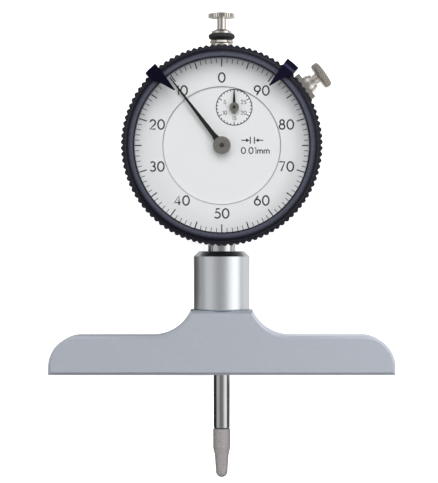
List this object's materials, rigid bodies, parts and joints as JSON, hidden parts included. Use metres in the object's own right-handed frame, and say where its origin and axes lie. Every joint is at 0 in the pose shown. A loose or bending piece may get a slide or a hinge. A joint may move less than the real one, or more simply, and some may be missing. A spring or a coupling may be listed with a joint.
{
  "type": "dial depth gauge",
  "caption": "Dial depth gauge: knurled bezel and dial with two hands on a stem and collar over a wide flat measuring base, with a sliding spindle, limit markers and bezel clamp.",
  "frame": {"origin": "middle of the base's measuring face, on the spindle's axis", "axes": "+Y up the spindle from the measuring face towards the lifting knob, +Z out of the dial, +X to the dial's right; the gauge lies on its back"},
  "size_m": [0.1014, 0.1372, 0.0248],
  "materials": {
    "satin_steel": "satin ground and chromed steel",
    "polished_steel": "ground and polished steel",
    "point_steel": "matt hardened steel",
    "nickel": "nickel plate",
    "screw_steel": "plain steel",
    "arbor_steel": "turned steel",
    "movement_brass": "stamped and turned brass",
    "case_paint": "dark satin paint on cast aluminium",
    "bumper_rubber": "soft black rubber",
    "bezel_plastic": "dark moulded plastic",
    "marker_plastic": "glossy dark moulded plastic",
    "crystal_clear": "clear crystal",
    "dial_white": "satin silver-white dial face",
    "pointer_black": "black painted hand",
    "hub_grey": "matt grey hub"
  },
  "bodies": {
    "frame": {"back_cover": "case_paint", "back_cover_screws": "screw_steel", "base": "satin_steel", "bezel_wire": "nickel", "bumper_ring": "bumper_rubber", "case": "case_paint", "clamp_bracket": "nickel", "clamp_bracket_screws": "screw_steel", "cock_pillars": "screw_steel", "cock_screws": "screw_steel", "collar": "satin_steel", "guide_rail": "movement_brass", "guide_rail_screws": "screw_steel", "hairspring": "arbor_steel", "hairspring_stud": "screw_steel", "inner_dial": "dial_white", "movement_plate": "movement_brass", "plate_pillars": "screw_steel", "plate_screws": "screw_steel", "pointer_bush": "movement_brass", "rear_cock": "movement_brass", "return_spring": "arbor_steel", "small_pointer_bush": "movement_brass", "spring_post": "screw_steel", "stem": "satin_steel", "stem_bush": "movement_brass", "stem_set_screw": "screw_steel", "upper_bush": "nickel"},
    "spindle_body": {"spindle": "polished_steel", "contact_point": "point_steel", "lifting_knob": "nickel", "guide_pin": "screw_steel"},
    "drive_gear_body": {"drive_arbor": "arbor_steel", "drive_gear": "movement_brass"},
    "pointer_body": {"pointer_arbor": "arbor_steel", "pointer": "pointer_black", "pointer_hub": "hub_grey"},
    "small_pointer_body": {"small_pointer_arbor": "arbor_steel", "counter_gear": "movement_brass", "small_pointer": "pointer_black", "small_pointer_hub": "hub_grey"},
    "take_up_body": {"take_up_arbor": "arbor_steel", "take_up_gear": "movement_brass"},
    "bezel_body": {"bezel": "bezel_plastic", "crystal": "crystal_clear", "crystal_ring": "bezel_plastic", "dial_ring": "dial_white"},
    "right_marker_body": {"right_marker": "marker_plastic"},
    "left_marker_body": {"left_marker": "marker_plastic"},
    "clamp_screw_body": {"clamp_screw": "nickel"},
    "clamp_shoe_body": {"clamp_shoe": "nickel"}
  },
  "joints": [
    {"name": "spindle_slide", "type": "slide", "parent": "frame", "child": "spindle_body", "axis": [0, 1, 0], "range_m": [0, 0.0305], "stiffness_N_per_m": 35, "springref_m": -0.04, "deforming": ["return_spring"]},
    {"name": "pointer_spin", "type": "hinge", "parent": "frame", "child": "pointer_body", "pos_m": [0, 0.0669, 0], "axis": [0, 0, 1], "range_deg": [-10980, 0]},
    {"name": "drive_gear_spin", "type": "hinge", "parent": "frame", "child": "drive_gear_body", "pos_m": [-0.00344, 0.07735, 0], "axis": [0, 0, 1], "range_deg": [0, 1098]},
    {"name": "small_pointer_spin", "type": "hinge", "parent": "frame", "child": "small_pointer_body", "pos_m": [0.0036, 0.07802, 0], "axis": [0, 0, 1], "range_deg": [-366, 0]},
    {"name": "take_up_spin", "type": "hinge", "parent": "frame", "child": "take_up_body", "pos_m": [0.0045, 0.06154, 0], "axis": [0, 0, 1], "range_deg": [0, 1830], "deforming": ["hairspring"]},
    {"name": "bezel_spin", "type": "hinge", "parent": "frame", "child": "bezel_body", "pos_m": [0, 0.0669, 0], "axis": [0, 0, 1], "continuous": true},
    {"name": "right_marker_swing", "type": "hinge", "parent": "bezel_body", "child": "right_marker_body", "pos_m": [0, 0.0669, 0], "axis": [0, 0, 1], "range_deg": [-130, 38]},
    {"name": "left_marker_swing", "type": "hinge", "parent": "bezel_body", "child": "left_marker_body", "pos_m": [0, 0.0669, 0], "axis": [0, 0, 1], "range_deg": [-38, 130]},
    {"name": "clamp_turn", "type": "hinge", "parent": "frame", "child": "clamp_screw_body", "pos_m": [0, 0.0669, 0.0055], "axis": [-0.8141, -0.5807, 0], "range_deg": [0, 180]},
    {"name": "clamp_shoe_press", "type": "slide", "parent": "frame", "child": "clamp_shoe_body", "axis": [-0.8141, -0.5807, 0], "range_m": [0, 0.00025]}
  ],
  "couplings": [
    {"joint": "pointer_spin", "follows": "spindle_slide", "rad_per_m": -6283.2},
    {"joint": "drive_gear_spin", "follows": "spindle_slide", "rad_per_m": 628.32},
    {"joint": "small_pointer_spin", "follows": "spindle_slide", "rad_per_m": -209.44},
    {"joint": "take_up_spin", "follows": "spindle_slide", "rad_per_m": 1047.2},
    {"joint": "clamp_shoe_press", "follows": "clamp_turn", "m_per_rad": 0.000079577}
  ]
}
